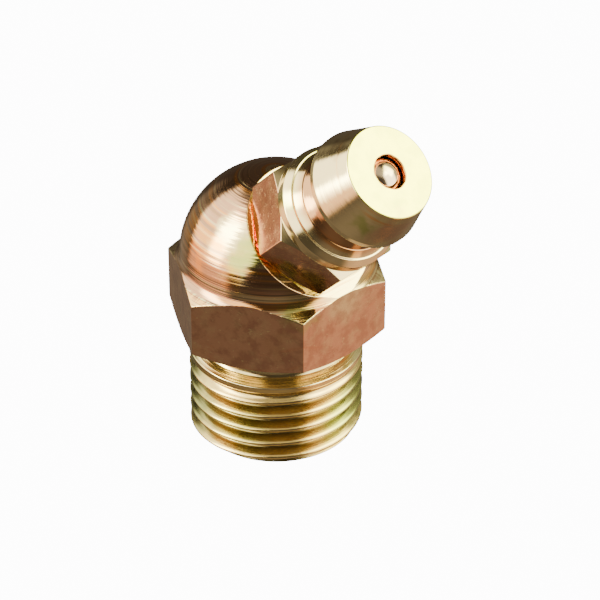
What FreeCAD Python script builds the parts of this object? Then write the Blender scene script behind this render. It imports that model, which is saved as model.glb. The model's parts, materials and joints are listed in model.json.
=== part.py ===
import FreeCAD, Part
import math
import os

# 45 degree grease nipple: an elbow body with a G 1/8 thread, and a small straight nipple
# screwed into the slanted face of its dome.
#
# Frame: the origin is the centre of the thread's end face, +Z runs up the thread axis and
# the nipple leans towards +X in the XZ plane. All lengths are in millimetres.
# The screwed-in nipple and its valve are drawn upright in a frame of their own, with the
# elbow point at z = 0 and the tip upwards, and seat_upright() leans them into place.

Vec = FreeCAD.Vector
UP = Vec(0, 0, 1)
LEAN_AXIS = Vec(0, 1, 0)

# --- screw-in end of the body -------------------------------------------------------
THREAD_MAJOR_D = 9.728        # G 1/8, modelled as its major diameter
THREAD_LENGTH = 5.72          # end face to the undercut
END_FACE_D = 8.4              # what the end chamfer leaves of the end face
END_CHAMFER_HEIGHT = 0.45
RUN_OUT_HEIGHT = 0.35         # slope from the thread down into the undercut
UNDERCUT_D = 8.4
UNDERCUT_WIDTH = 0.98

# --- spanner hexagon of the body ----------------------------------------------------
HEX_FLATS = 10.84
HEX_HEIGHT = 4.18
HEX_CHAMFER_ANGLE = 31.0      # of the upper chamfer, from the horizontal
HEX_RING_D = 10.66            # where the upper chamfer starts
HEX_UNDER_CHAMFER_ANGLE = 26.0
HEX_UNDER_RING_D = 10.2       # where the lower chamfer starts
HEX_FIRST_CORNER = 30         # from +X, so that two flats face along X

# --- dome and its slanted spot face -------------------------------------------------
DOME_D = 10.62
DOME_RISE = 0.17              # ball centre above the hexagon
DOME_FOOT_FILLET = 0.3
LEAN_ANGLE = 45.0
ELBOW_RISE = 0.35             # elbow point, where the two axes meet, above the hexagon
SPOT_FACE_DISTANCE = 3.58     # from the elbow point, along the nipple

# --- passages in the body -----------------------------------------------------------
GREASE_BORE_D = 3.5
GREASE_BORE_COUNTERSINK = 0.3
GREASE_BORE_BREAKTHROUGH = 1.0  # past the elbow point, to open fully into the socket
DRILL_POINT_ANGLE = 118.0
SOCKET_MOUTH_COUNTERSINK = 0.2
SOCKET_END_GAP = 0.3          # between the nipple's end and the socket's floor

# --- screwed-in nipple --------------------------------------------------------------
NIPPLE_REACH = 8.47           # spot face to tip
HEAD_FACE_D = 5.08
HEAD_D = 6.44
HEAD_TAPER_LENGTH = 2.3
HEAD_LAND_LENGTH = 0.32
HEAD_BACK_LENGTH = 0.5
NECK_D = 4.9
NECK_LENGTH = 0.3
COLLAR_SHOULDER_LENGTH = 0.4
COLLAR_FRONT_D = 6.3
COLLAR_TAPER_LENGTH = 0.5
COLLAR_D = 6.86
NIPPLE_HEX_FLATS = 6.75
NIPPLE_HEX_HEIGHT = 2.85
NIPPLE_HEX_CHAMFER_ANGLE = 30.0
NIPPLE_HEX_FOOT_D = 6.5       # what the lower chamfer leaves to sit on the spot face
NIPPLE_HEX_TURN = 3.0         # where the last turn of the screw left the hexagon
STUB_D = 5.35                 # M6, modelled as its pitch diameter
STUB_LENGTH = 3.38
STUB_CHAMFER = 0.5
STUB_CLEARANCE = 0.03         # on the radius, in the body's socket

# --- ball valve ---------------------------------------------------------------------
BALL_D = 2.38
MOUTH_D = 1.81                # hole in the tip that the ball closes
SEAT_CLEARANCE = 0.02
CHAMBER_CLEARANCE = 0.12      # on the radius, beside the ball
LIP_D = 1.5                   # what the rolled-in lip leaves open behind the spring
LIP_THICKNESS = 0.3
LIP_ROLL = 0.25
SPRING_WIRE_D = 0.3
SPRING_SIDE_CLEARANCE = 0.05  # between the spring and the chamber's wall
SPRING_TURNS = 7
SPRING_END_GAP = 0.01         # at the ball and at the lip
SPRING_WIRE_SIDES = 6         # the round wire is drawn with flats, of the same section area

# How far a cutting shape stands clear of what it cuts.
CUT_OVERRUN = 0.5

# --- sizes that follow --------------------------------------------------------------
HEX_BASE = THREAD_LENGTH + UNDERCUT_WIDTH
HEX_TOP = HEX_BASE + HEX_HEIGHT
DOME_HEIGHT = HEX_TOP + DOME_RISE
ELBOW_HEIGHT = HEX_TOP + ELBOW_RISE
TIP = SPOT_FACE_DISTANCE + NIPPLE_REACH
CHAMBER_D = BALL_D + 2 * CHAMBER_CLEARANCE
SOCKET_D = STUB_D + 2 * STUB_CLEARANCE
STUB_END = SPOT_FACE_DISTANCE - STUB_LENGTH
SOCKET_FLOOR = STUB_END - SOCKET_END_GAP


def across_corners(flats):
    return flats / math.cos(math.radians(30))


def spun(points_and_arcs):
    """Solid of revolution about Z. Each item is a corner (r, z), or an arc that goes on
    from the last corner, as a pair (point on the way, end point)."""
    edges = []
    here = None
    first = None
    for item in points_and_arcs:
        if isinstance(item[0], tuple):
            way, end = (Vec(r, 0, z) for r, z in item)
            edges.append(Part.Arc(here, way, end).toShape())
        else:
            end = Vec(item[0], 0, item[1])
            if here is not None:
                edges.append(Part.makeLine(here, end))
        first = first or end
        here = end
    edges.append(Part.makeLine(here, first))
    face = Part.Face(Part.Wire(edges))
    return face.revolve(Vec(0, 0, 0), UP, 360)


def swing(centre, radius, start_angle, turn):
    """Arc for spun(), in degrees round a centre: its halfway point and its end."""
    spots = []
    for share in (0.5, 1.0):
        angle = math.radians(start_angle + share * turn)
        spots.append((centre[0] + radius * math.cos(angle), centre[1] + radius * math.sin(angle)))
    return tuple(spots)


def hexagon(flats, base, height, first_corner):
    """Hexagonal prism about Z."""
    radius = across_corners(flats) / 2
    corners = []
    for number in range(7):
        angle = math.radians(first_corner + 60 * number)
        corners.append(Vec(radius * math.cos(angle), radius * math.sin(angle), base))
    return Part.Face(Part.makePolygon(corners)).extrude(UP * height)


def chamfered_hexagon(flats, base, height, first_corner, under, over):
    """Hexagonal prism whose corners are turned off by a cone at each end. Each cone is
    given as the diameter at which it starts and its angle from the horizontal."""
    outside = across_corners(flats) / 2 + CUT_OVERRUN
    top = base + height
    (lower, lower_rise), (upper, upper_rise) = (
        (diameter / 2, (outside - diameter / 2) * math.tan(math.radians(angle)))
        for diameter, angle in (under, over)
    )
    envelope = spun([
        (0, base),
        (lower, base),
        (outside, base + lower_rise),
        (outside, top - upper_rise),
        (upper, top),
        (0, top),
    ])
    return hexagon(flats, base, height, first_corner).common(envelope)


def seat_upright(shape):
    """Leans a piece of the nipple's own frame into the body."""
    placed = shape.copy()
    lean = FreeCAD.Rotation(LEAN_AXIS, LEAN_ANGLE)
    placed.Placement = FreeCAD.Placement(Vec(0, 0, ELBOW_HEIGHT), lean).multiply(shape.Placement)
    return placed


def shank():
    """Screw-in end, from its end face up to the hexagon."""
    major, undercut = THREAD_MAJOR_D / 2, UNDERCUT_D / 2
    return spun([
        (0, 0),
        (END_FACE_D / 2, 0),
        (major, END_CHAMFER_HEIGHT),
        (major, THREAD_LENGTH - RUN_OUT_HEIGHT),
        (undercut, THREAD_LENGTH),
        (undercut, HEX_BASE),
        (0, HEX_BASE),
    ])


def dome():
    """Ball on a short round foot that flares into the hexagon's upper chamfer."""
    radius = DOME_D / 2
    fillet = DOME_FOOT_FILLET
    return spun([
        (0, HEX_BASE + HEX_HEIGHT / 2),
        (radius, HEX_BASE + HEX_HEIGHT / 2),
        (radius, DOME_HEIGHT),
        swing((0, DOME_HEIGHT), radius, 0, 90),
    ]).fuse(dome_foot(radius, fillet))


def dome_foot(radius, fillet):
    """Concave flare round the foot of the dome, which dies out on the chamfer."""
    slope = math.radians(HEX_CHAMFER_ANGLE)
    # The arc touches the upright wall and, lower down, the chamfer cone.
    centre_r = radius + fillet
    touch_r = centre_r - fillet * math.sin(slope)
    touch_z = HEX_TOP - (touch_r - HEX_RING_D / 2) * math.tan(slope)
    centre_z = touch_z + fillet * math.cos(slope)
    return spun([
        (0, touch_z - fillet),
        (touch_r, touch_z - fillet),
        (touch_r, touch_z),
        swing((centre_r, centre_z), fillet, 270 - HEX_CHAMFER_ANGLE, HEX_CHAMFER_ANGLE - 90),
        (0, centre_z),
    ])


def elbow_body():
    """Body: threaded shank, spanner hexagon and dome, with the two drilled passages."""
    flats = chamfered_hexagon(
        HEX_FLATS, HEX_BASE, HEX_HEIGHT, HEX_FIRST_CORNER,
        (HEX_UNDER_RING_D, HEX_UNDER_CHAMFER_ANGLE), (HEX_RING_D, HEX_CHAMFER_ANGLE)
    )
    # All of it is turned from hexagonal bar, so the flats also cut the dome's foot.
    bar = hexagon(HEX_FLATS, 0, ELBOW_HEIGHT + DOME_D, HEX_FIRST_CORNER)
    body = shank().fuse([flats, dome()]).common(bar)
    body = body.cut(seat_upright(spot_facing()))
    body = body.cut([grease_bore(), seat_upright(nipple_socket())])
    return body.removeSplitter()


def spot_facing():
    """What is cut from the dome to leave a flat ring for the nipple."""
    return Part.makeCylinder(DOME_D / 2, DOME_D, Vec(0, 0, SPOT_FACE_DISTANCE))


def grease_bore():
    """Drilling up the thread axis, countersunk at the end face, that ends in the socket."""
    radius = GREASE_BORE_D / 2
    sink = GREASE_BORE_COUNTERSINK
    top = ELBOW_HEIGHT + GREASE_BORE_BREAKTHROUGH
    return spun([
        (0, -CUT_OVERRUN),
        (radius + sink + CUT_OVERRUN, -CUT_OVERRUN),
        (radius, sink),
        (radius, top),
        (0, top),
    ])


def nipple_socket():
    """Drilling for the nipple's stub, with a countersunk mouth and a drill point."""
    radius = SOCKET_D / 2
    sink = SOCKET_MOUTH_COUNTERSINK
    point = radius / math.tan(math.radians(DRILL_POINT_ANGLE / 2))
    return spun([
        (0, SOCKET_FLOOR - point),
        (radius, SOCKET_FLOOR),
        (radius, SPOT_FACE_DISTANCE - sink),
        (radius + sink + CUT_OVERRUN, SPOT_FACE_DISTANCE + CUT_OVERRUN),
        (0, SPOT_FACE_DISTANCE + CUT_OVERRUN),
    ])


def nipple_outline():
    """Turned outside of the nipple, from the stub's end to the tip."""
    hex_top = SPOT_FACE_DISTANCE + NIPPLE_HEX_HEIGHT
    land_top = TIP - HEAD_TAPER_LENGTH
    land_base = land_top - HEAD_LAND_LENGTH
    neck_top = land_base - HEAD_BACK_LENGTH
    neck_base = neck_top - NECK_LENGTH
    collar_front = neck_base - COLLAR_SHOULDER_LENGTH
    head, face = HEAD_D / 2, HEAD_FACE_D / 2
    stub = STUB_D / 2
    return spun([
        (0, STUB_END),
        (stub - STUB_CHAMFER, STUB_END),
        (stub, STUB_END + STUB_CHAMFER),
        (stub, hex_top),
        (COLLAR_D / 2, hex_top),
        (COLLAR_D / 2, collar_front - COLLAR_TAPER_LENGTH),
        (COLLAR_FRONT_D / 2, collar_front),
        (NECK_D / 2, neck_base),
        (NECK_D / 2, neck_top),
        (head, land_base),
        (head, land_top),
        (face, TIP),
        (0, TIP),
    ])


def valve_bore():
    """Inside of the nipple: mouth, ball seat, spring chamber and rolled-in lip."""
    mouth, chamber, lip = MOUTH_D / 2, CHAMBER_D / 2, LIP_D / 2
    centre = ball_centre()
    seat = BALL_D / 2 + SEAT_CLEARANCE
    seat_angle = math.degrees(math.acos(mouth / seat))
    lip_top = STUB_END + LIP_THICKNESS
    return spun([
        (0, STUB_END - CUT_OVERRUN),
        (lip, STUB_END - CUT_OVERRUN),
        (lip, lip_top),
        (chamber, lip_top + LIP_ROLL),
        (chamber, centre),
        (seat, centre),
        swing((0, centre), seat, 0, seat_angle),
        (mouth, TIP + CUT_OVERRUN),
        (0, TIP + CUT_OVERRUN),
    ])


def ball_centre():
    """Height of the closed ball: its crown is level with the nipple's tip face."""
    return TIP - BALL_D / 2


def nipple_head():
    """Straight nipple: coupler head, neck, collar, hexagon and stub in one turned piece."""
    flats = chamfered_hexagon(
        NIPPLE_HEX_FLATS, SPOT_FACE_DISTANCE, NIPPLE_HEX_HEIGHT, NIPPLE_HEX_TURN - 90,
        (NIPPLE_HEX_FOOT_D, NIPPLE_HEX_CHAMFER_ANGLE), (COLLAR_D, NIPPLE_HEX_CHAMFER_ANGLE)
    )
    turned = nipple_outline().fuse(flats).cut(valve_bore())
    return seat_upright(turned.removeSplitter())


def check_ball():
    ball = Part.makeSphere(BALL_D / 2, Vec(0, 0, ball_centre()))
    return seat_upright(ball)


def wire_section(centre, along, size):
    """Cross-section of the spring's wire: a polygon as large as the round wire's circle."""
    step = 2 * math.pi / SPRING_WIRE_SIDES
    radius = size / 2 * math.sqrt(step / math.sin(step))
    outwards = Vec(1, 0, 0)
    sideways = along.cross(outwards).normalize()
    corners = []
    for number in range(SPRING_WIRE_SIDES + 1):
        angle = step * (number % SPRING_WIRE_SIDES)
        offset = outwards * math.cos(angle) + sideways * math.sin(angle)
        corners.append(centre + offset * radius)
    return Part.Wire(Part.makePolygon(corners))


def ball_spring():
    """Coil spring that holds the ball against its seat, from the lip to the ball."""
    wire = SPRING_WIRE_D / 2
    coil = CHAMBER_D / 2 - SPRING_SIDE_CLEARANCE - wire
    low = STUB_END + LIP_THICKNESS + LIP_ROLL + wire + SPRING_END_GAP
    reach = BALL_D / 2 + wire + SPRING_END_GAP
    high = ball_centre() - math.sqrt(reach ** 2 - coil ** 2)
    pitch = (high - low) / SPRING_TURNS
    helix = Part.makeHelix(pitch, high - low, coil)
    helix.translate(Vec(0, 0, low))
    along = Vec(0, coil, pitch / (2 * math.pi))
    section = wire_section(Vec(coil, 0, low), along, SPRING_WIRE_D)
    coiled = Part.Wire(helix).makePipeShell([section], True, True)
    return seat_upright(coiled)


def main():
    os.makedirs("parts", exist_ok=True)
    pieces = {
        "elbow_body": elbow_body(),
        "nipple_head": nipple_head(),
        "check_ball": check_ball(),
        "ball_spring": ball_spring(),
    }
    for name, shape in pieces.items():
        shape.exportStep("parts/" + name + ".step")


main()
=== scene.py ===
"""Dresses a 45 degree grease nipple: elbow body, screwed-in coupler head, check ball and spring.

Every visible piece is a grid of points worked out with numpy, in the frame of the packed
solids: +Z runs up the thread axis and the nipple leans towards +X.
"""

import json
import math

import bmesh
import bpy
import numpy as np
from bpy.props import FloatProperty, FloatVectorProperty, PointerProperty
from mathutils import Matrix, Vector


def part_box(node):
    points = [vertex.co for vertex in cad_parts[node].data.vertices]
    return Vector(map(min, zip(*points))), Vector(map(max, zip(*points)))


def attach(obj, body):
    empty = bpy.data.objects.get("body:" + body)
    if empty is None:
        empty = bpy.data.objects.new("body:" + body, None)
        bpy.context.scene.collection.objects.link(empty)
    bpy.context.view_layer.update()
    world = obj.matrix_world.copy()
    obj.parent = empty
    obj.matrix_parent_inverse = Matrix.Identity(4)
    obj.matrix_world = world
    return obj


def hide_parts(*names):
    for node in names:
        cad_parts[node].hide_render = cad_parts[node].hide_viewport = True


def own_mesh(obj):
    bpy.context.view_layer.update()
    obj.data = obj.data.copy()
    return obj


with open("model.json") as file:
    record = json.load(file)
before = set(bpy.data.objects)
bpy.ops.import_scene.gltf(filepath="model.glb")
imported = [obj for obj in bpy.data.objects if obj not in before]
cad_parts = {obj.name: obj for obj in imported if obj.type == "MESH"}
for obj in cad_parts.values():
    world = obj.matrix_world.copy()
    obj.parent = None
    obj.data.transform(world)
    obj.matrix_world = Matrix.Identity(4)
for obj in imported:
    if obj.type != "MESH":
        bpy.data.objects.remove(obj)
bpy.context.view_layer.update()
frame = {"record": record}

bl_info = {
    "name": "Grease Nipple",
    "version": (1, 0, 0),
    "blender": (4, 5, 0),
    "location": "View3D > Sidebar > Grease Nipple",
    "description": "Builds a 45 degree grease nipple with its thread, valve and studio",
    "category": "Object",
}

MM = 0.001
FULL_TURN = 2 * math.pi
SIXTH = math.pi / 3


def mount_size(name):
    """Radius of one of the packed part's round mounts."""
    for mount in frame["record"]["mounts"]:
        if mount["name"] == name:
            return mount["dims"]["r_mm"] * MM
    raise ValueError("the packed part has no mount named " + name)


BALL_LOW, BALL_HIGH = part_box("check_ball")
BODY_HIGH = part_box("elbow_body")[1]
BALL_PLACE = (BALL_LOW + BALL_HIGH) / 2


# --- sizes and colours that a user would change ------------------------------------


def size(name, description, millimetres):
    """A length property, given in millimetres and kept in metres."""
    return FloatProperty(
        name=name, description=description, default=millimetres * MM,
        unit="LENGTH", subtype="DISTANCE", precision=5,
    )


def tilt(name, description, degrees):
    """An angle property, given in degrees and kept in radians."""
    return FloatProperty(
        name=name, description=description, default=math.radians(degrees),
        unit="ROTATION", subtype="ANGLE",
    )


def tint(name, description, red, green, blue):
    """A colour property."""
    return FloatVectorProperty(
        name=name, description=description, default=(red, green, blue),
        subtype="COLOR", min=0.0, max=1.0,
    )


def amount(name, description, default, top):
    """A plain number property, from nothing up to top."""
    return FloatProperty(name=name, description=description, default=default, min=0.0, max=top)


class BodySizes(bpy.types.PropertyGroup):
    """Elbow body: thread, spanner hexagon, dome and passages."""

    thread_d: size("Thread diameter", "Over the thread's crests", 2 * mount_size("thread") / MM)
    pitch: size("Thread pitch", "28 threads to the inch", 25.4 / 28)
    thread_start: size("Thread start", "Shifts the helix along the axis", 0.0)
    thread_length: size("Thread length", "End face to the undercut", 5.72)
    thread_fade: size("Thread fade", "Over which the groove dies out below the undercut", 1.1)
    end_face_d: size("End face", "What the end chamfer leaves", 8.4)
    end_chamfer: size("End chamfer height", "Along the axis", 0.45)
    run_out: size("Run-out height", "Slope from the thread into the undercut", 0.35)
    undercut_d: size("Undercut diameter", "Groove between thread and hexagon", 8.4)
    undercut_width: size("Undercut width", "Along the axis", 0.98)
    hex_flats: size("Hexagon", "Across the flats", 2 * BODY_HIGH.x / MM)
    hex_height: size("Hexagon height", "Along the axis", 4.18)
    hex_ring_d: size("Hexagon ring", "Where the upper chamfer starts", 10.66)
    under_ring_d: size("Hexagon lower ring", "Where the lower chamfer starts", 10.2)
    hex_corner: size("Hexagon corner radius", "Rounding of the upright corners", 0.1)
    chamfer_angle: tilt("Hexagon chamfer", "Of the upper chamfer, from the horizontal", 31)
    under_angle: tilt("Hexagon lower chamfer", "From the horizontal", 26)
    dome_d: size("Dome diameter", "Ball of the elbow", 10.62)
    dome_rise: size("Dome rise", "Ball centre above the hexagon", 0.17)
    foot_fillet: size("Dome foot hollow", "Radius of the hollow round the dome's foot", 0.7)
    lean: tilt("Lean", "From the thread axis. The socket's floor fits 45 degrees only", 45)
    elbow_rise: size("Elbow rise", "Point where the two axes meet, above the hexagon", 0.35)
    spot_face: size("Spot face distance", "From the elbow point, along the nipple", 3.58)
    bore_d: size("Grease bore", "Drilling up the thread axis", 3.5)
    bore_sink: size("Grease bore countersink", "At the end face", 0.3)
    socket_d: size("Socket", "Drilling for the nipple's stub", 5.41)
    socket_sink: size("Socket countersink", "At the spot face", 0.2)
    socket_floor: size("Socket floor", "Along the nipple, from the elbow point", -0.1)
    drill_point: tilt("Drill point", "Full angle of the socket's floor", 118)
    edge: size("Edge softness", "Rounding of the turned edges", 0.05)


class NippleSizes(bpy.types.PropertyGroup):
    """Screwed-in nipple: coupler head, neck, collar, hexagon, stub and valve bore."""

    reach: size("Reach", "Spot face to tip", 8.47)
    head_face_d: size("Tip face", "Flat at the tip", 5.08)
    head_d: size("Coupler head", "Across the land", 2 * mount_size("coupler_head") / MM)
    head_taper: size("Head taper", "Length behind the tip face", 2.3)
    head_land: size("Head land", "Length of the cylindrical part", 0.32)
    head_back: size("Head back", "Length of the slope into the neck", 0.5)
    neck_d: size("Neck", "Groove that the coupler grips", 4.9)
    neck_length: size("Neck length", "Along the nipple", 0.3)
    shoulder: size("Collar shoulder", "Length of the slope out of the neck", 1.28)
    collar_ledge: size("Collar ledge", "Flat rim between the shoulder and the taper", 0.1)
    collar_front_d: size("Collar front", "Where the collar's taper starts", 6.3)
    collar_taper: size("Collar taper", "Along the nipple", 0.4)
    collar_d: size("Collar", "Ring above the hexagon", 6.86)
    hex_flats: size("Small hexagon", "Across the flats", 6.75)
    hex_height: size("Small hexagon height", "Along the nipple", 2.85)
    hex_foot_d: size("Small hexagon foot", "Ring that sits on the spot face", 6.5)
    hex_corner: size("Small hexagon corner radius", "Rounding of its corners", 0.09)
    hex_chamfer: tilt("Small hexagon chamfer", "From its end faces", 30)
    hex_turn: tilt("Small hexagon turn", "Where the last turn of the screw left it", 3)
    stub_d: size("Stub", "Screwed into the socket", 5.35)
    stub_length: size("Stub length", "Below the spot face", 3.38)
    stub_chamfer: size("Stub chamfer", "At its end", 0.5)
    mouth_d: size("Mouth", "Hole in the tip that the ball closes", 1.81)
    mouth_burr: size("Mouth burr", "Unevenness of the punched edge", 0.05)
    chamber_d: size("Spring chamber", "Bore behind the ball", 2.62)
    seat_clearance: size("Seat clearance", "Between the ball and its seat", 0.02)
    lip_d: size("Lip", "What the rolled-in lip leaves open", 1.5)
    lip_thickness: size("Lip thickness", "Along the nipple", 0.3)
    lip_roll: size("Lip roll", "Height of the lip's curl", 0.25)
    edge: size("Edge softness", "Rounding of the turned edges", 0.05)


class ValveSizes(bpy.types.PropertyGroup):
    """Check ball and spring."""

    ball_d: size("Ball", "Check ball", (BALL_HIGH.x - BALL_LOW.x) / MM)
    wire_d: size("Spring wire", "Round wire", 0.3)
    spring_side: size("Spring side clearance", "To the chamber's wall", 0.05)
    spring_end: size("Spring end gap", "At the ball and at the lip", 0.01)
    spring_turns: amount("Spring turns", "Turns between the lip and the ball", 7.0, 20.0)
    travel: size("Ball travel", "How far the ball is pushed in", 0.8)


class Finish(bpy.types.PropertyGroup):
    """Colours of the yellow zinc plate, the ball and the spring, with some that paint shade and
    reflections.
    """

    gold: tint("Gold", "Zinc plate on the thread", 0.95, 0.71, 0.29)
    cream: tint("Cream", "Pale plate on chamfers and the coupler head", 0.90, 0.76, 0.44)
    rose: tint("Rose", "Plate on the dome", 0.46, 0.24, 0.17)
    clay: tint("Clay", "Plate on the flats", 0.72, 0.38, 0.26)
    pink: tint("Pink", "Pale pink patches", 0.80, 0.46, 0.34)
    green: tint("Green", "Greenish patches", 0.46, 0.54, 0.14)
    brown: tint("Brown", "Dull brown patches", 0.34, 0.20, 0.11)
    maroon: tint("Maroon", "Dark red clouds on the flats", 0.36, 0.15, 0.12)
    # Orange also paints the spot face's glow beside the small hexagon: a painted reflection.
    orange: tint("Orange", "Thick plate on the spot face", 1.0, 0.40, 0.03)
    # Painted shade with a painted orange reflection in the neck, and a painted orange reflection
    # round the punched mouth.
    neck_shade_and_mouth_glow: tint("Copper", "Plate in the neck and round the mouth", 0.46, 0.19, 0.09)
    straw: tint("Straw", "Yellow plate on the tip face", 0.95, 0.97, 0.14)
    # Painted shade on the thread's left and right sides, as the camera sees them.
    thread_side_shade: tint("Olive", "Dull plate on the thread's sides", 0.20, 0.23, 0.09)
    # Groove is painted shade in the thread's roots and the undercut; the spring's dull clouds take
    # it too.
    groove: tint("Groove", "Darker plate in thread roots and corners", 0.24, 0.20, 0.11)
    ball: tint("Ball", "Polished ball", 0.95, 0.76, 0.60)
    spring: tint("Spring", "Bright drawn wire", 0.62, 0.60, 0.57)
    floor: tint("Floor", "Floor and backdrop", 0.95, 0.95, 0.95)


class StageSizes(bpy.types.PropertyGroup):
    """Camera, floor and lights."""

    distance: size("Camera distance", "From the point that the camera circles", 146.42)
    aim_height: size("Aim height", "Of that point, above the floor", 9.87)
    azimuth: tilt("Camera azimuth", "Round the thread axis", 46.603)
    elevation: tilt("Camera elevation", "Above the horizon", 32.127)
    roll: tilt("Camera roll", "About the line of sight", -0.19)
    lens: amount("Focal length", "In millimetres, on a 36 mm sensor", 159.7, 400.0)
    shift_x: FloatProperty(name="Shift X", description="Sideways shift of the view", default=0.0403)
    shift_y: FloatProperty(name="Shift Y", description="Upward shift of the view", default=-0.0476)


# --- grids of points -----------------------------------------------------------------


# A corner is set back by at most this share of the shorter side beside it.
LONGEST_SETBACK = 0.3
# Where the further points beyond a rounded corner stand, in setbacks from the corner.
FURTHER_POINT = 1.6
# Keeps a side of no length from being divided by nothing, in metres.
TINY = 1e-12


def rounded(corners, radii, steps=3):
    """Softens the corners of many outlines at once.

    corners has the shape points x outlines x 2. Between two points A and B, set back from a
    corner P by its radius, runs the curve (1-u)^2 A + 2u(1-u) P + u^2 B, and a further point
    beyond each of them keeps the long faces flat under smooth shading."""
    rows = [corners[0]]
    u = np.linspace(0, 1, steps + 1)[:, None, None]
    for number in range(1, len(corners) - 1):
        here = corners[number]
        back, ahead = corners[number - 1] - here, corners[number + 1] - here
        back_length = np.linalg.norm(back, axis=-1, keepdims=True) + TINY
        ahead_length = np.linalg.norm(ahead, axis=-1, keepdims=True) + TINY
        room = LONGEST_SETBACK * np.minimum(back_length, ahead_length)
        setback = np.minimum(radii[number], room)
        back, ahead = back / back_length * setback, ahead / ahead_length * setback
        curve = (
            (1 - u) ** 2 * (here + back) + 2 * u * (1 - u) * here + u ** 2 * (here + ahead)
        )
        rows.append(here + back * FURTHER_POINT)
        rows.extend(curve)
        rows.append(here + ahead * FURTHER_POINT)
    rows.append(corners[-1])
    return np.array(rows)


def outline(points):
    """Corners of one outline for every column, from values that may differ by column."""
    count = max(np.size(value) for point in points for value in point)
    return np.array([
        np.stack([np.broadcast_to(r, (count,)), np.broadcast_to(z, (count,))], axis=-1)
        for r, z in points
    ])


def turned(section, angle):
    """Points of a section (r, z) carried round Z: (r cos angle, r sin angle, z)."""
    radius, height = section[..., 0], section[..., 1]
    return np.stack([radius * np.cos(angle), radius * np.sin(angle), height], axis=-1)


# Columns beside a hexagon's corner, in half angles of its rounding.
CORNER_COLUMNS = (0.0, 0.5, 1.0, 1.7, 3.0)


def hexagon_columns(first_corner, corner_share, plain):
    """Angles of the columns once round, dense at the hexagon's corners and closed by a
    last column on top of the first. corner_share is half the angle of a rounded corner, and
    plain counts the columns on each half of a flat."""
    near = corner_share * np.array(CORNER_COLUMNS)
    far = np.linspace(near[-1], SIXTH / 2, plain + 1)[1:]
    half = np.concatenate([near, far])
    sector = np.concatenate([half, SIXTH - half[-2:0:-1]])
    corners = first_corner + SIXTH * np.arange(6)
    angles = (corners[:, None] + sector[None, :]).ravel()
    return np.append(angles, first_corner + FULL_TURN)


def hexagon_corner_share(flats, corner_radius):
    """Half the angle, seen from the axis, that a rounded corner takes up."""
    apothem = flats / 2
    tangent = (apothem - corner_radius) * math.tan(SIXTH / 2)
    return SIXTH / 2 - math.atan(tangent / apothem)


def hexagon_reach(angle, flats, first_corner, corner_radius):
    """Distance from the axis to a hexagon with rounded corners.

    On a flat it is the apothem over the cosine of the angle from the flat's normal. On a
    corner it is where the ray leaves the corner's circle."""
    apothem = flats / 2
    from_corner = np.abs((angle - first_corner + SIXTH / 2) % SIXTH - SIXTH / 2)
    on_flat = apothem / np.cos(SIXTH / 2 - from_corner)
    centre = (apothem - corner_radius) / math.cos(SIXTH / 2)
    under_root = corner_radius ** 2 - (centre * np.sin(from_corner)) ** 2
    on_corner = centre * np.cos(from_corner) + np.sqrt(np.maximum(under_root, 0))
    rounding = from_corner < hexagon_corner_share(flats, corner_radius)
    return np.where(rounding, on_corner, on_flat)


def soft_minimum(first, second, blend):
    """The smaller of two values, with the crease between them rounded over blend. With
    h = 1/2 + (second - first) / (2 blend), held between 0 and 1, it is
    h first + (1-h) second - blend h (1-h)."""
    mix = np.clip(0.5 + 0.5 * (second - first) / blend, 0, 1)
    return second * (1 - mix) + first * mix - blend * mix * (1 - mix)


def ease(part):
    """Smooth passage from 0 to 1: 3 part^2 - 2 part^3, with part held between 0 and 1."""
    part = np.clip(part, 0, 1)
    return part * part * (3 - 2 * part)


def whitworth(turns):
    """Thread form over one pitch: height above the pitch line, in pitches, for a place
    along the axis in pitches from a crest. Flanks of 27.5 degrees run between crests and
    roots that are arcs of 0.1373 of the pitch."""
    rounding, depth, flank = 0.1373, 0.6403, math.radians(27.5)
    from_crest = np.abs((turns + 0.5) % 1 - 0.5)
    in_root = from_crest > 0.25
    side = np.where(in_root, -1.0, 1.0)
    across = np.where(in_root, 0.5 - from_crest, from_crest)
    tangent = rounding * math.cos(flank)
    arc_centre = depth / 2 - rounding
    arc = arc_centre + np.sqrt(np.maximum(rounding ** 2 - across ** 2, 0))
    slope = arc_centre + rounding * math.sin(flank) - (across - tangent) / math.tan(flank)
    return side * np.where(across < tangent, arc, slope)


# --- meshes from grids ---------------------------------------------------------------


def make_piece(name, points, marks):
    """One closed mesh from a grid of points, rows x columns x 3.

    Neighbouring rows and columns make quads, points that fall together are merged, and
    each entry of marks becomes a number kept at every vertex for the finish to read."""
    rows, columns = points.shape[:2]
    number = np.arange(rows * columns).reshape(rows, columns)
    quads = np.stack(
        [number[:-1, :-1], number[:-1, 1:], number[1:, 1:], number[1:, :-1]], axis=-1
    ).reshape(-1, 4)
    mesh = bpy.data.meshes.new(name)
    mesh.from_pydata(points.reshape(-1, 3), [], quads)
    for mark, values in marks.items():
        layer = mesh.attributes.new(mark, "FLOAT", "POINT")
        layer.data.foreach_set("value", values.astype(np.float32).ravel())
    close_up(mesh)
    mesh.shade_smooth()
    piece = bpy.data.objects.new(name, mesh)
    bpy.context.scene.collection.objects.link(piece)
    return piece


# Points nearer than this fall together, in metres.
MERGE_WITHIN = 2e-8


def close_up(mesh):
    """Merges points that fall together, drops what has no area and turns faces outward."""
    work = bmesh.new()
    work.from_mesh(mesh)
    bmesh.ops.remove_doubles(work, verts=work.verts, dist=MERGE_WITHIN)
    bmesh.ops.dissolve_degenerate(work, dist=MERGE_WITHIN, edges=work.edges)
    bmesh.ops.recalc_face_normals(work, faces=work.faces)
    work.to_mesh(mesh)
    work.free()


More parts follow.
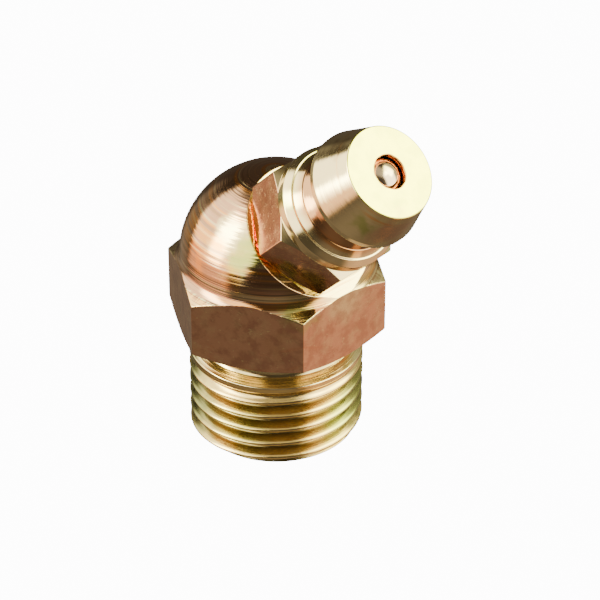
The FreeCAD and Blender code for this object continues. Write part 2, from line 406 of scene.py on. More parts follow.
def stack(strips):
    """Joins strips of rows into one grid, with their marks."""
    points = np.concatenate([strip[0] for strip in strips])
    names = sorted({mark for strip in strips for mark in strip[1]})
    marks = {}
    for mark in names:
        layers = [
            np.broadcast_to(strip[1].get(mark, 0.0), strip[0].shape[:2]) for strip in strips
        ]
        marks[mark] = np.concatenate(layers)
    return points, marks


def leaned(points, lean, elbow_height):
    """The nipple's own frame (elbow point at 0, tip up +Z) leaned into the body's frame."""
    across, up = points[..., 0], points[..., 2]
    c, s = math.cos(lean), math.sin(lean)
    return np.stack(
        [c * across + s * up, points[..., 1], elbow_height - s * across + c * up], axis=-1
    )


# --- elbow body ----------------------------------------------------------------------

# Angle of the large hexagon's first corner: a flat faces +X, under the nipple.
BODY_CORNER = SIXTH / 2
# A margin that is small beside the edge softness, as a share of it.
MARGIN = 0.3
# The finish's root mark, painted shade in the thread's roots: full at this depth in pitches,
# setting in with this power, and weaker in the undercut.
ROOT_SHADE_DEPTH = 0.64
ROOT_SHADE_POWER = 1.5
UNDERCUT_SHADE = 0.45


def body_heights(body):
    """Heights of the hexagon's base and top, the dome's ball centre and the elbow point."""
    hex_base = body.thread_length + body.undercut_width
    hex_top = hex_base + body.hex_height
    return hex_base, hex_top, hex_top + body.dome_rise, hex_top + body.elbow_rise


def body_reach(body, angle):
    """Distance from the thread axis to the large hexagon."""
    return hexagon_reach(angle, body.hex_flats, BODY_CORNER, body.hex_corner)


def thread_top(body):
    """Height at which the thread ends and its run-out slope begins."""
    return body.thread_length - body.run_out


def thread_strip(body, angle, rows_per_pitch=18):
    """Outside of the screw-in end, as rows that climb with the helix.

    A row's height is its start height plus a pitch per turn, held between the end face and
    the undercut. The radius is the thread form, cut off by the end chamfer, and its depth
    fades to nothing below the undercut."""
    top = thread_top(body) - 2 * body.edge
    step = body.pitch / rows_per_pitch
    starts = np.arange(-body.pitch, top + step, step)
    climb = body.pitch * (angle - angle[0]) / FULL_TURN
    height = np.clip(starts[:, None] + climb[None, :], 0, top)
    turns = (height - climb[None, :] - body.thread_start) / body.pitch
    form = whitworth(turns) - whitworth(np.zeros(1))
    fade = ease((top - height) / body.thread_fade)
    radius = body.thread_d / 2 + form * body.pitch * fade
    chamfer_rise = (body.thread_d - body.end_face_d) / 2 / body.end_chamfer
    chamfer = body.end_face_d / 2 + chamfer_rise * height
    chamfer = chamfer - body.edge * np.clip(1 - height / body.edge, 0, 1) ** 2
    radius = soft_minimum(radius, chamfer, body.edge)
    points = turned(np.stack([radius, height], axis=-1), angle)
    # Painted shade: the root mark darkens the plate towards the thread's roots.
    depth = (body.thread_d / 2 - radius) / (ROOT_SHADE_DEPTH * body.pitch)
    root = np.clip(depth, 0, 1) ** ROOT_SHADE_POWER
    return points, {"ring": height - radius, "root": root, "thread": 1.0}


def hexagon_strip(body, angle):
    """Run-out, undercut, underside, chamfers and flats, up to the dome's flare: straight
    lines of the outline (r, z), rounded at its corners. The undercut's two corners are
    rounded the most."""
    hex_base, hex_top = body_heights(body)[:2]
    major, undercut = body.thread_d / 2, body.undercut_d / 2
    ring, under_ring = body.hex_ring_d / 2, body.under_ring_d / 2
    reach = body_reach(body, angle)
    slope = math.tan(body.chamfer_angle)
    touch_r, touch_z = flare_start(body, angle, reach)
    soft = body.edge
    corners = outline([
        (major, thread_top(body) - 2 * soft),
        (major, thread_top(body)),
        (undercut, body.thread_length),
        (undercut, hex_base),
        (under_ring, hex_base),
        (reach, hex_base + (reach - under_ring) * math.tan(body.under_angle)),
        (reach, np.minimum(hex_top - (reach - ring) * slope, touch_z)),
        (touch_r, touch_z),
    ])
    section = rounded(corners, [0, soft, 3 * soft, 4 * soft, soft, soft, soft, 0])
    radius, height = section[..., 0], section[..., 1]
    shade = np.clip((major - radius) / (major - undercut), 0, 1)
    on_flat = (radius > reach - MARGIN * soft) & (height > hex_base)
    marks = {
        "ring": height - radius, "root": UNDERCUT_SHADE * shade, "flat": on_flat.astype(float)
    }
    return turned(section, angle), marks


def flare_profile(body, steps=64):
    """The hollow round the dome's foot: its radii, its heights, and its elevations seen
    from the ball's centre. It is an arc that touches both the hexagon's chamfer and the
    ball: its centre lies one arc radius above the chamfer, and the sum of both radii from
    the ball's centre."""
    _, hex_top, ball, _ = body_heights(body)
    slope, hollow = body.chamfer_angle, body.foot_fillet
    normal = np.array([math.sin(slope), math.cos(slope)])
    along = np.array([math.cos(slope), -math.sin(slope)])
    lift = hollow + normal @ np.array([body.hex_ring_d / 2, hex_top - ball])
    centre = lift * normal + math.sqrt((body.dome_d / 2 + hollow) ** 2 - lift ** 2) * along
    last = math.pi + math.atan2(centre[1], centre[0])
    turn = np.linspace(1.5 * math.pi - slope, last, steps + 1)
    radius = centre[0] + hollow * np.cos(turn)
    height = ball + centre[1] + hollow * np.sin(turn)
    return radius, height, np.arctan2(height - ball, radius)


def flare_start(body, angle, reach):
    """Where the hollow begins in each column: on the chamfer, or on the flat itself in the
    middle of a flat, where the hollow is wider than the hexagon, and always a little below
    the plane of the spot face."""
    radius, height, _ = flare_profile(body)
    start_r = np.minimum(radius[0], reach)
    start_z = np.interp(start_r, radius[::-1], height[::-1])
    sideways = start_r * np.cos(angle) * math.sin(body.lean)
    spot_plane = body_heights(body)[3] + (body.spot_face - sideways) / math.cos(body.lean)
    return start_r, np.minimum(start_z, spot_plane - MARGIN * body.edge)


def dome_point(body, direction):
    """The dome's skin in a direction from the ball centre: the ball itself, and below its
    touch with the foot's hollow the hollow, never outside the hexagon."""
    ball = body_heights(body)[2]
    flare_r, _, flare_elevation = flare_profile(body)
    elevation = np.arcsin(np.clip(direction[..., 2], -1, 1))
    azimuth = np.arctan2(direction[..., 1], direction[..., 0])
    radius = np.interp(elevation, flare_elevation, flare_r)
    radius = np.minimum(radius, body_reach(body, azimuth))
    low = turned(np.stack([radius, ball + radius * np.tan(elevation)], axis=-1), azimuth)
    high = direction * body.dome_d / 2 + np.array([0, 0, ball])
    return np.where(elevation[..., None] < flare_elevation[-1], low, high), elevation


def rim_direction(body, angle, halvings=40):
    """Directions from the ball centre to the spot face's rim. In each column the radius
    along the face, between 0.5 and 0.9 of the ball's, is found by halving, until the point
    lies on the dome's skin."""
    _, _, ball, elbow = body_heights(body)
    low = np.full(angle.shape, 0.5 * body.dome_d / 2)
    high = np.full(angle.shape, 0.9 * body.dome_d / 2)
    for _ in range(halvings):
        middle = (low + high) / 2
        on_face = np.stack([middle, np.full(angle.shape, body.spot_face)], axis=-1)
        spot = leaned(turned(on_face, angle), body.lean, elbow - ball)
        distance = np.linalg.norm(spot, axis=-1)
        skin, _ = dome_point(body, spot / distance[:, None])
        inside = distance < np.linalg.norm(skin - np.array([0, 0, ball]), axis=-1)
        low = np.where(inside, middle, low)
        high = np.where(inside, high, middle)
    return spot / distance[:, None], middle


# Rows of the dome, as shares of the way up: dense over the hollow and next to the rim.
DOME_ROWS = np.concatenate([
    np.linspace(0, 0.12, 15), np.linspace(0.12, 0.98, 43)[1:], [0.99, 0.995, 1.0]
])


def dome_strip(body, angle):
    """Flare and dome: each column follows a great circle, seen from the ball centre, from
    the foot of the flare to the spot face's rim at the same angle round the nipple."""
    ball = body_heights(body)[2]
    start_r, start_z = flare_start(body, angle, body_reach(body, angle))
    foot = turned(np.stack([start_r, start_z - ball], axis=-1), angle)
    foot = foot / np.linalg.norm(foot, axis=-1, keepdims=True)
    rim, rim_radius = rim_direction(body, angle)
    between = np.arccos(np.clip(np.sum(foot * rim, axis=-1), -1, 1))[None, :, None]
    parts = DOME_ROWS[:, None, None]
    direction = (
        np.sin((1 - parts) * between) * foot + np.sin(parts * between) * rim
    ) / np.sin(between)
    points, elevation = dome_point(body, direction)
    flare_r, flare_z, flare_elevation = flare_profile(body)
    ring = np.interp(elevation, flare_elevation, flare_z - flare_r)
    ring = ring + np.maximum(elevation - flare_elevation[-1], 0) * body.dome_d / 2
    return points, {"ring": ring, "dome": 1.0}, rim_radius


# Cosine and sine of 45 degrees.
COSINE_45 = math.sqrt(0.5)


def socket_strips(body, angle, rim_radius, rim_ring, cone_rows=8):
    """Spot face, socket mouth and wall, and the socket's cone down to the grease bore.

    On the cone both the radius and the angle round the nipple pass evenly from the wall to
    the curve in which the upright bore breaks through, which closes the body's grid. That
    curve is turned into the nipple's frame for a lean of 45 degrees: at another lean the
    cone would end beside the bore."""
    elbow = body_heights(body)[3]
    radius, sink, face = body.socket_d / 2, body.socket_sink, body.spot_face
    soft = body.edge
    corners = outline([
        (rim_radius, face),
        (rim_radius - 2 * soft, face),
        (radius + sink, face),
        (radius, face - sink),
        (radius, body.socket_floor),
    ])
    section = rounded(corners, [0, soft, soft, soft, 0])
    wall = leaned(turned(section, angle), body.lean, elbow)
    on_rim = np.zeros(section.shape[:2])
    on_rim[0] = 1.0
    x, y, z = bore_break_through(body, angle).T
    across = (x - (z - elbow)) * COSINE_45
    end_angle = np.unwrap(np.arctan2(y, across))
    end_angle += FULL_TURN * np.round((angle[0] - end_angle[0]) / FULL_TURN)
    parts = np.linspace(0, 1, cone_rows + 1)[1:, None]
    ring_radius = (1 - parts) * radius + parts * np.hypot(across, y)
    ring_angle = (1 - parts) * angle + parts * end_angle
    point_slope = 1 / math.tan(body.drill_point / 2)
    height = body.socket_floor - (radius - ring_radius) * point_slope
    cone = turned(np.stack([ring_radius, height], axis=-1), ring_angle)
    inward = rim_ring + rim_radius + face - section[..., 0] - section[..., 1]
    return [
        (wall, {"ring": inward, "dome": on_rim}),
        (leaned(cone, body.lean, elbow), {"ring": inward[-1] + radius - ring_radius}),
    ]


def bore_break_through(body, angle):
    """Curve in which the upright bore meets the cone of the socket's drill point.

    A point (x, y, z) of the bore, with z measured from the elbow point, lies
    s x + c z along the nipple and c x - s z across it, where c and s are the cosine and the
    sine of the lean. It is on the cone when (c x - s z)^2 + y^2 is the square of
    widen (s x + c z - apex), which is a square equation in z: a z^2 + b z + d = 0. Of its
    roots the lower one on the cone's own side of the apex counts."""
    elbow = body_heights(body)[3]
    radius = body.bore_d / 2
    widen = math.tan(body.drill_point / 2)
    apex = body.socket_floor - body.socket_d / 2 / widen
    x, y = radius * np.cos(angle), radius * np.sin(angle)
    c, s = math.cos(body.lean), math.sin(body.lean)
    a = s ** 2 - (widen * c) ** 2
    b = -2 * c * s * x - 2 * widen ** 2 * c * (s * x - apex)
    d = (c * x) ** 2 + y ** 2 - (widen * (s * x - apex)) ** 2
    root = np.sqrt(np.maximum(b ** 2 - 4 * a * d, 0))
    first, second = (-b - root) / (2 * a), (-b + root) / (2 * a)
    first_on_cone = s * x + c * first - apex >= 0
    second_on_cone = s * x + c * second - apex >= 0
    z = np.where(first_on_cone & (~second_on_cone | (first < second)), first, second)
    return np.stack([x, y, z + elbow], axis=-1)


def bore_strip(body, angle, thread_foot):
    """Grease bore from its break-through down to the end face, and the end face itself: an
    outline (r, z) that ends on the first row of the thread. The last corner is almost
    sharp, because the thread's end chamfer brings its own rounding."""
    radius, sink, soft = body.bore_d / 2, body.bore_sink, body.edge
    rim = np.linalg.norm(thread_foot[:, :2], axis=-1)
    corners = outline([
        (radius, bore_break_through(body, angle)[:, 2]),
        (radius, sink),
        (radius + sink, 0.0),
        (rim - 2 * soft, 0.0),
        (rim, 0.0),
    ])
    section = rounded(corners, [0, soft, soft, 0.2 * soft, 0])
    return turned(section, angle), {"ring": section[..., 1] - section[..., 0]}


def build_body(body):
    """Grid of the whole elbow body: one closed skin through bore and socket."""
    corner_share = hexagon_corner_share(body.hex_flats, body.hex_corner)
    angle = hexagon_columns(BODY_CORNER, corner_share, 20)
    thread = thread_strip(body, angle)
    dome, dome_marks, rim_radius = dome_strip(body, angle)
    return stack([
        bore_strip(body, angle, thread[0][0]),
        thread,
        hexagon_strip(body, angle),
        (dome, dome_marks),
        *socket_strips(body, angle, rim_radius, dome_marks["ring"][-1]),
    ])


# --- screwed-in nipple ---------------------------------------------------------------


def nipple_levels(body, nipple):
    """Heights along the nipple, from the elbow point."""
    tip = body.spot_face + nipple.reach
    land_top = tip - nipple.head_taper
    land_base = land_top - nipple.head_land
    neck_top = land_base - nipple.head_back
    neck_base = neck_top - nipple.neck_length
    collar_front = neck_base - nipple.shoulder
    return tip, land_top, land_base, neck_top, neck_base, collar_front


# The collar's shoulder: share of its rise and share of its length at each of its corners.
SHOULDER_CORNERS = ((0.0, 0.0), (0.2, 0.3), (0.46, 0.62), (0.56, 0.64), (1.0, 0.99))


def head_outline(body, nipple, steps=10):
    """Outline from the tip face over the taper and the neck to the collar. The shoulder
    rises in two slopes with a small step between them, and ends in a flat ledge."""
    tip, land_top, land_base, neck_top, neck_base, collar_front = nipple_levels(body, nipple)
    face, head = nipple.head_face_d / 2, nipple.head_d / 2
    taper = [
        (face + (head - face) * part, tip - nipple.head_taper * part)
        for part in np.linspace(0, 1, steps + 1)[1:-1]
    ]
    neck, front = nipple.neck_d / 2, nipple.collar_front_d / 2
    ledge = front - nipple.collar_ledge
    shoulder = [
        (neck + (ledge - neck) * rise, neck_base - nipple.shoulder * run)
        for rise, run in SHOULDER_CORNERS
    ]
    return [
        (face, tip), *taper, (head, land_top), (head, land_base), (neck, neck_top), *shoulder,
        (front, collar_front), (nipple.collar_d / 2, collar_front - nipple.collar_taper),
    ]


def valve_outline(body, nipple, valve, steps=8):
    """Outline up the inside: stub end, rolled lip, spring chamber, ball seat and mouth."""
    tip = nipple_levels(body, nipple)[0]
    stub_end = body.spot_face - nipple.stub_length
    ball_centre = tip - valve.ball_d / 2
    seat = valve.ball_d / 2 + nipple.seat_clearance
    seat_end = math.acos(nipple.mouth_d / 2 / seat)
    lip_top = stub_end + nipple.lip_thickness
    arc = [
        (seat * math.cos(turn), ball_centre + seat * math.sin(turn))
        for turn in np.linspace(0, seat_end, steps + 1)
    ]
    return [
        (nipple.lip_d / 2, stub_end),
        (nipple.lip_d / 2, lip_top),
        (nipple.chamber_d / 2, lip_top + nipple.lip_roll),
        (nipple.chamber_d / 2, ball_centre),
        *arc,
    ]


# Waves of the mouth's punched edge: count once round, height and start in radians.
BURR_WAVES = ((3, 0.5, 0.6), (7, 0.3, 2.0), (13, 0.2, 0.0))
# The neck's shade sets in where the outline lies this start, in depths, inside the
# collar's front, and is full one depth further in.
NECK_DEPTH = 0.3 * MM
NECK_START = 0.4
# How far below the tip the painted reflection round the punched mouth and the tip
# face's mark end.
MOUTH_REACH = 0.5 * MM
FACE_REACH = 0.02 * MM


def burred_mouth(nipple, angle):
    """Radius of the punched mouth: the plain radius, widened by a few slow waves round it
    that reach from nothing to the burr."""
    waves = sum(height * np.sin(count * angle + start) for count, height, start in BURR_WAVES)
    return nipple.mouth_d / 2 + nipple.mouth_burr * (0.5 + 0.5 * waves)


def nipple_outline(body, nipple, valve, reach, mouth):
    """Outline (r, z) from the ball's seat over the outside and back up the inside, closed
    on its own first point. The tip face's rim is rounded by the edge softness, the mouth
    by 0.6 of it and every other corner by 0.4."""
    soft = nipple.edge
    tip = nipple_levels(body, nipple)[0]
    base = body.spot_face
    foot, collar, stub = nipple.hex_foot_d / 2, nipple.collar_d / 2, nipple.stub_d / 2
    hex_top, stub_end = base + nipple.hex_height, base - nipple.stub_length
    slope = math.tan(nipple.hex_chamfer)
    inside = valve_outline(body, nipple, valve)
    seat_end = (mouth, inside[-1][1])
    points = [
        seat_end, (mouth, tip), (mouth + 3 * soft, tip), *head_outline(body, nipple),
        (collar, hex_top), (reach, hex_top - np.maximum(reach - collar, 0) * slope),
        (reach, base + (reach - foot) * slope), (foot, base), (stub, base),
        (stub, stub_end + nipple.stub_chamfer), (stub - nipple.stub_chamfer, stub_end),
        *inside[:-1], seat_end,
    ]
    radii = [0, 0.6 * soft, soft, soft] + [0.4 * soft] * (len(points) - 5) + [0]
    return rounded(outline(points), radii, steps=2)


def nipple_marks(body, nipple, section, reach, mouth):
    """Marks for the finish: flats, the neck's painted shade, the mouth's painted reflection and the
    tip face, and the turning rings, which count the height and, the other way, 0.35 of the radius."""
    radius, height = section[..., 0], section[..., 1]
    tip, hex_top = nipple_levels(body, nipple)[0], body.spot_face + nipple.hex_height
    on_hexagon = (height < hex_top) & (height > body.spot_face)
    on_flat = (radius > reach - MARGIN * nipple.edge) & on_hexagon
    depth = (nipple.collar_front_d / 2 - radius) / NECK_DEPTH - NECK_START
    beside_neck = (height > hex_top) * (height < tip - nipple.head_taper)
    return {
        "ring": height - 0.35 * radius,
        "flat": on_flat * 1.0,
        # painted shade in the neck
        "root": np.clip(depth, 0, 1) * beside_neck,
        # painted reflection round the mouth
        "mouth": ((radius < mouth + nipple.edge) & (height > tip - MOUTH_REACH)) * 1.0,
        "face": ((height > tip - FACE_REACH) & (radius > mouth)) * 1.0,
    }


def build_nipple(body, nipple, valve):
    """Grid of the nipple, drawn upright and then leaned: one closed skin from the mouth
    over the outside, round the stub's end and back up through the valve bore."""
    first_corner = nipple.hex_turn - math.pi / 2
    corner_share = hexagon_corner_share(nipple.hex_flats, nipple.hex_corner)
    angle = hexagon_columns(first_corner, corner_share, 18)
    reach = hexagon_reach(angle, nipple.hex_flats, first_corner, nipple.hex_corner)
    mouth = burred_mouth(nipple, angle)
    section = nipple_outline(body, nipple, valve, reach, mouth)
    marks = nipple_marks(body, nipple, section, reach, mouth)
    return leaned(turned(section, angle), body.lean, body_heights(body)[3]), marks


# --- check ball and spring -----------------------------------------------------------


def build_ball(valve, rows=65, columns=97):
    """Grid of the ball: latitude from pole to pole and longitude once round."""
    latitude = np.linspace(-math.pi / 2, math.pi / 2, rows)[:, None]
    longitude = np.linspace(0, FULL_TURN, columns)[None, :]
    radius = valve.ball_d / 2
    points = np.stack([
        radius * np.cos(latitude) * np.cos(longitude),
        radius * np.cos(latitude) * np.sin(longitude),
        radius * np.sin(latitude) * np.ones_like(longitude),
    ], axis=-1)
    points = points + np.array(BALL_PLACE)
    return points, {"ring": np.broadcast_to(radius * latitude, (rows, columns))}


def spring_ends(body, nipple, valve):
    """Radius of the coil, and the heights of its first and last turn along the nipple: one
    rests on the lip, the other touches the ball."""
    wire = valve.wire_d / 2
    coil = nipple.chamber_d / 2 - valve.spring_side - wire
    stub_end = body.spot_face - nipple.stub_length
    low = stub_end + nipple.lip_thickness + nipple.lip_roll + wire + valve.spring_end
    reach = valve.ball_d / 2 + wire + valve.spring_end
    ball_centre = nipple_levels(body, nipple)[0] - valve.ball_d / 2
    return coil, low, ball_centre - math.sqrt(reach ** 2 - coil ** 2)


def build_spring(body, nipple, valve, per_turn=48, sides=16):
    """Grid of the spring: a circle of the wire's radius carried along a helix about the
    nipple's axis, square to it, with both ends drawn in to a point."""
    wire = valve.wire_d / 2
    coil, low, high = spring_ends(body, nipple, valve)
    turn = np.linspace(0, FULL_TURN * valve.spring_turns, int(per_turn * valve.spring_turns) + 1)
    rise = (high - low) / turn[-1]
    nothing = np.zeros_like(turn)
    outward = np.stack([np.cos(turn), np.sin(turn), nothing], axis=-1)
    onward = np.stack([-np.sin(turn), np.cos(turn), nothing], axis=-1)
    upward = np.array([0, 0, 1])
    centre = coil * outward + (low + rise * turn)[:, None] * upward
    forward = coil * onward + rise * upward
    forward = forward / np.linalg.norm(forward, axis=-1, keepdims=True)
    sideways = np.cross(forward, outward)
    around = np.linspace(0, FULL_TURN, sides + 1)[None, :, None]
    ring = np.cos(around) * outward[:, None] + np.sin(around) * sideways[:, None]
    points = centre[:, None, :] + wire * ring
    ends = [np.broadcast_to(centre[i], (1, sides + 1, 3)) for i in (0, -1)]
    points = np.concatenate([ends[0], points, ends[1]])
    return leaned(points, body.lean, body_heights(body)[3]), {"ring": points[..., 2]}


# --- finishes ------------------------------------------------------------------------


class Mixing:
    """Adds nodes to one node tree. Every call returns an output for the next to read."""

    def __init__(self, tree):
        self.tree = tree
        tree.nodes.clear()

    def add(self, kind, inputs=(), output=0, **settings):
        """A node with its settings, and its inputs in order: a number, a colour, another
        node's output, or None to leave an input alone."""
        node = self.tree.nodes.new(kind)
        for name, value in settings.items():
            setattr(node, name, value)
        for socket, value in zip(node.inputs, inputs):
            self.feed(socket, value)
        return node.outputs[output] if node.outputs else None

    def feed(self, socket, value):
        """Links an output to a socket, or sets the socket's own value."""
        if isinstance(value, bpy.types.NodeSocket):
            self.tree.links.new(value, socket)
        elif value is not None:
            socket.default_value = value

    def maths(self, operation, *values):
        """One step of arithmetic on numbers."""
        return self.add("ShaderNodeMath", values, operation=operation)

    def vectors(self, operation, *values, output=0):
        """One step of arithmetic on vectors. Output 1 is the one that gives a number."""
        return self.add("ShaderNodeVectorMath", values, output, operation=operation)

    def sum(self, first, second):
        """first + second."""
        return self.maths("ADD", first, second)

    def times(self, first, second):
        """first x second."""
        return self.maths("MULTIPLY", first, second)

    def less(self, first, second):
        """first - second."""
        return self.maths("SUBTRACT", first, second)

    def ramp(self, value, low, high, start=0.0, end=1.0):
        """value passed smoothly from start to end between low and high."""
        return self.add("ShaderNodeMapRange", (value, low, high, start, end),
                        interpolation_type="SMOOTHSTEP")

    def blend(self, first, second, factor):
        """Colour between two colours, which are the node's seventh and eighth inputs."""
        inputs = (factor, *[None] * 5, first, second)
        return self.add("ShaderNodeMix", inputs, 2, data_type="RGBA")

    def mark(self, name):
        """One of the numbers kept at the piece's vertices."""
        return self.add("ShaderNodeAttribute", output=2, attribute_name=name)

    def place(self):
        """The object's own coordinates."""
        return self.add("ShaderNodeTexCoord", output=3)

    def stretched(self, across, along, seed):
        """Coordinates for marks that run round a turned surface: slow in the object's own
        x and y and quick along the outline. Both are counts to the millimetre."""
        split = self.tree.nodes.new("ShaderNodeSeparateXYZ")
        self.feed(split.inputs[0], self.place())
        ring = self.times(self.mark("ring"), along / MM)
        x = self.times(split.outputs[0], across / MM)
        y = self.sum(self.times(split.outputs[1], across / MM), seed)
        return self.add("ShaderNodeCombineXYZ", (x, y, ring))

    def placed(self, per_mm, seed=0.0):
        """The object's own coordinates, scaled to counts to the millimetre."""
        inputs = (self.place(), (seed,) * 3, None, (per_mm / MM,) * 3)
        return self.add("ShaderNodeMapping", inputs)

    def noise(self, vector, detail, roughness=0.5, output=0):
        """Cloudy noise: output 0 is a number and output 1 a colour."""
        return self.add("ShaderNodeTexNoise", (vector, None, 1.0, detail, roughness), output)

    def bumps(self, heights):
        """Normal from several heights, each with its size in metres."""
        normal = None
        for height, distance in heights:
            normal = self.add("ShaderNodeBump", (1.0, distance, None, height, normal))
        return normal

    def metal(self, colour, roughness, normal):
        """Bare or plated metal, and the material's end."""
        node = self.tree.nodes.new("ShaderNodeBsdfPrincipled")
        self.feed(node.inputs["Base Color"], colour)
        self.feed(node.inputs["Roughness"], roughness)
        self.feed(node.inputs["Normal"], normal)
        node.inputs["Metallic"].default_value = 1.0
        self.add("ShaderNodeOutputMaterial", (node.outputs[0],))


def colour(values):
    """A colour with its alpha."""
    return (*values, 1.0)


def new_finish(name):
    """An empty material, and what adds nodes to it."""
    material = bpy.data.materials.new(name)
    material.use_nodes = True
    return material, Mixing(material.node_tree)


# Patches laid on the plate: colour, place and reach in millimetres, and strength. Most are
# stain patches; the body's table also holds painted highlights and painted shade.
BODY_STAINS_AND_LIGHT = (
    # Painted highlight: a pale patch where the dome's highlight lies.
    ("cream", (1.0, -4.1, 14.3), 1.4, 0.9),
    ("green", (2.2, -4.0, 13.8), 1.2, 0.8),
    ("green", (2.1, -4.5, 12.9), 1.2, 0.7),
    ("orange", (-0.5, -5.1, 12.3), 0.8, 0.4),
    ("orange", (1.75, -4.8, 12.3), 0.8, 0.4),
    ("green", (4.9, -2.8, 10.7), 1.2, 0.6),
    # Paler plate on the chamfer under the nipple, partly a painted highlight.
    ("cream", (5.3, 0.1, 11.0), 2.0, 0.9),
    ("green", (1.6, -4.6, 2.4), 2.2, 0.5),
    # Painted shade: the dark greenish patches darken the thread's left and right sides.
    ("thread_side_shade", (-2.2, -4.3, 2.6), 3.6, 0.95),
    ("green", (4.8, 0.2, 2.4), 1.8, 0.6),
    ("thread_side_shade", (4.3, 2.4, 2.8), 2.8, 0.9),
    ("green", (4.6, 0.9, 2.2), 1.4, 0.5),
    ("thread_side_shade", (-2.2, -4.0, 5.2), 1.4, 0.7),
)
# Painted reflection: an orange glow on the spot face beside the small hexagon.
SPOT_FACE_GLOW = (
    ("orange", (1.9, -3.3, 14.4), 2.4, 1.0),
)
NIPPLE_STAINS = (
    ("green", (8.9, -2.3, 17.6), 0.9, 0.7),
    ("clay", (9.6, -1.0, 16.9), 1.5, 0.7),
    ("brown", (6.2, -1.6, 20.9), 0.9, 0.5),
    ("clay", (7.0, -2.6, 19.0), 0.8, 0.3),
    ("brown", (2.65, -2.9, 16.4), 1.6, 0.4),
    ("green", (4.1, -3.2, 13.5), 1.0, 0.7),
    ("brown", (5.9, -2.7, 14.3), 1.2, 0.3),
    ("green", (3.9, -3.1, 17.3), 0.8, 0.6),
    ("pink", (4.9, -3.1, 17.0), 0.6, 0.5),
    ("green", (9.8, -0.5, 18.5), 0.8, 0.3),
)


def laid_over(mix, shade, finish, name, factor):
    """One of the finish's colours over a shade, by a factor from 0 to 1."""
    return mix.blend(shade, colour(getattr(finish, name)), factor)


# How far a patch's edge wavers, and where it starts and ends to fade, in reaches.
PATCH_WAVER = 2.4 * MM
PATCH_CORE, PATCH_END = 0.25, 1.1


def lay_stains_and_light(mix, shade, finish, stains_and_light, seed):
    """Lays soft-edged patches over a colour, each a ball of space with a wavering edge: stain
    patches, and painted highlights, shade and reflection.
    """
    waver = mix.noise(mix.placed(0.9, seed), 3.0, output=1)
    waver = mix.vectors("SUBTRACT", waver, (0.5, 0.5, 0.5))
    waver = mix.vectors("SCALE", waver, None, None, PATCH_WAVER)
    place = mix.vectors("ADD", mix.place(), waver)
    for name, centre, reach, strength in stains_and_light:
        away = mix.vectors("DISTANCE", place, tuple(part * MM for part in centre), output=1)
        mask = mix.ramp(away, PATCH_CORE * reach * MM, PATCH_END * reach * MM, strength, 0.0)
        shade = laid_over(mix, shade, finish, name, mask)
    return shade


def clouded(mix, shade, finish, layers, mask=1.0):
    """Lays colours over a shade. Each layer gives a colour's name, the pattern that it
    follows, where in the pattern it sets in and is full, and its full strength."""
    for name, pattern, low, high, strength in layers:
        layer = mix.times(mix.ramp(pattern, low, high, 0.0, strength), mask)
        shade = laid_over(mix, shade, finish, name, layer)
    return shade


def drifting(mix, shade, finish, seed):
    """Iridescent zinc plate: the colour drifts to cream, orange and green in soft patches,
    drawn out round the turned surfaces."""
    patches = mix.noise(mix.placed(0.4, seed), 2.0)
    streaks = mix.noise(mix.stretched(0.2, 2.2, seed), 3.0)
    drift = mix.sum(mix.times(patches, 0.4), mix.times(streaks, 0.6))
    tarnish = mix.noise(mix.placed(0.35, seed + 7.3), 3.0)
    return clouded(mix, shade, finish, (
        ("cream", drift, 0.46, 0.36, 0.6),
        ("orange", drift, 0.54, 0.64, 0.5),
        ("green", tarnish, 0.56, 0.70, 0.6),
    ))


def ringed(mix, shade, finish, seed):
    """Pale, brown and orange lines that the turning left in the dome's plate."""
    pale = mix.noise(mix.stretched(0.04, 2.6, seed + 9.0), 2.0, 0.6)
    warm = mix.noise(mix.stretched(0.04, 1.9, seed + 12.0), 2.0, 0.6)
    return clouded(mix, shade, finish, (
        ("cream", pale, 0.52, 0.60, 0.55),
        ("brown", pale, 0.48, 0.40, 0.6),
        ("orange", warm, 0.54, 0.62, 0.45),
    ), mix.mark("dome"))


def turning_marks(mix, seed):
    """Height of the cutting tool's rings: broad feed lines under fine ones."""
    broad = mix.noise(mix.stretched(0.05, 4.0, seed), 1.0)
    fine = mix.noise(mix.stretched(0.1, 14.0, seed + 3.1), 1.0)
    return mix.sum(mix.times(broad, 0.75), mix.times(fine, 0.25))


def handling_marks(mix, seed):
    """Pale specks, faint clouds and short winding scratches on the flats. A scratch runs
    inside the clouds, where a noise passes through its middle value."""
    specks = mix.ramp(mix.noise(mix.placed(4.0, seed), 3.0, 0.7), 0.60, 0.72)
    clouds = mix.ramp(mix.noise(mix.placed(0.9, seed), 4.0, 0.6), 0.48, 0.66)
    winding = mix.less(mix.noise(mix.placed(1.5, seed + 5.2), 3.0, 0.6), 0.5)
    scratches = mix.ramp(mix.maths("ABSOLUTE", winding), 0.0, 0.012, 1.0, 0.0)
    scratches = mix.times(scratches, clouds)
    return mix.sum(specks, mix.sum(mix.times(clouds, 0.4), mix.times(scratches, 0.6)))


# How much of the turning rings the thread has lost, and how much rougher it is.
THREAD_WEAR = 0.75
THREAD_ROUGHNESS = 0.09
GRAIN_DEPTH = 0.0006 * MM
SPECK_DEPTH = 0.002 * MM


